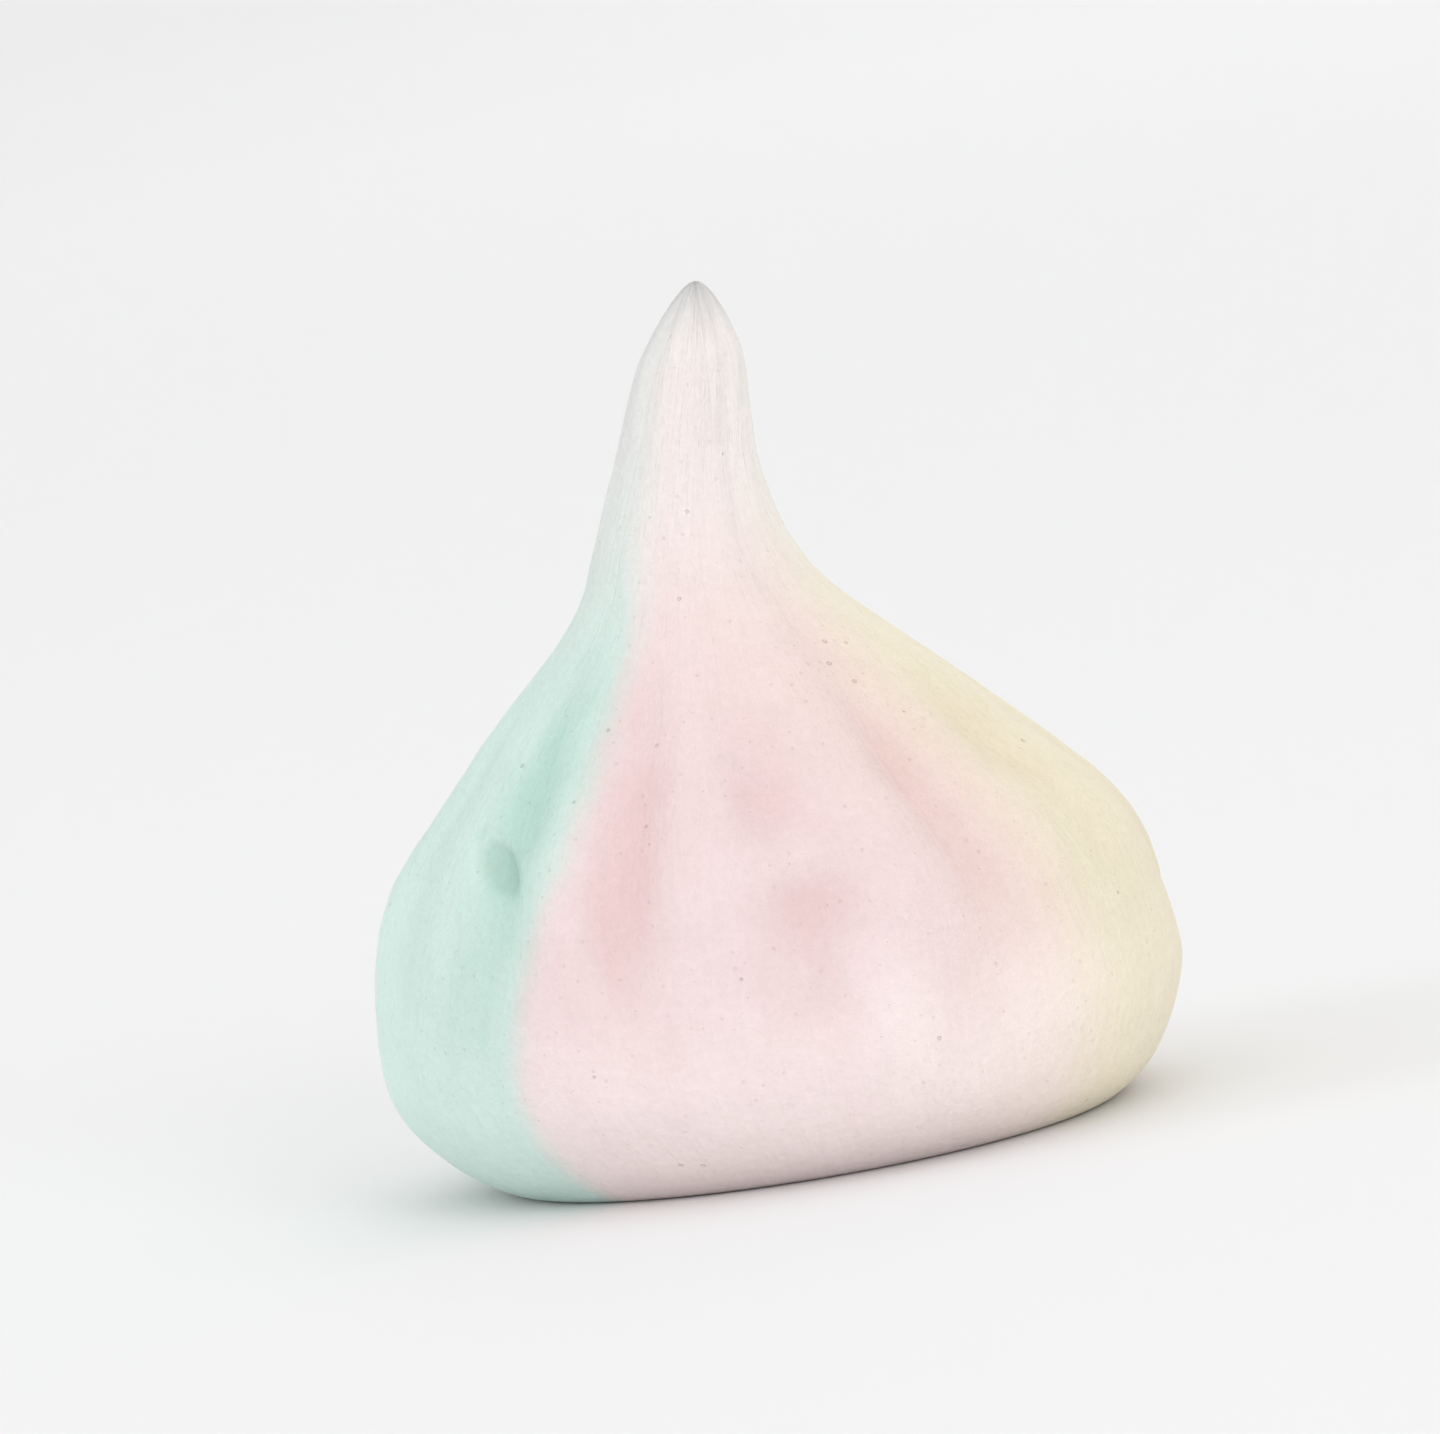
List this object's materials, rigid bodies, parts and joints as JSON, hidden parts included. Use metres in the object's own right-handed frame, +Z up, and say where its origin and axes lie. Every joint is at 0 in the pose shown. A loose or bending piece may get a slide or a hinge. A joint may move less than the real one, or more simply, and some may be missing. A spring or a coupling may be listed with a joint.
{
  "type": "meringue cookie",
  "caption": "Piped meringue cookie: a ridged bulb on a flat foot, drawn up to a slim leaning peak, striped in pale pink, mint green and soft yellow.",
  "frame": {"origin": "middle of the flat foot that the cookie stands on", "axes": "+Z up along the cookie, from the foot to the peak; -Y is the pink stripe's side, +X the yellow stripe's side and -X the mint stripe's side"},
  "size_m": [0.038, 0.0381, 0.0409],
  "materials": {
    "meringue": "dry matte sugar shell, in soft stripes of pale pink, mint green and pale yellow"
  },
  "bodies": {
    "root": {"meringue": "meringue"}
  },
  "joints": []
}
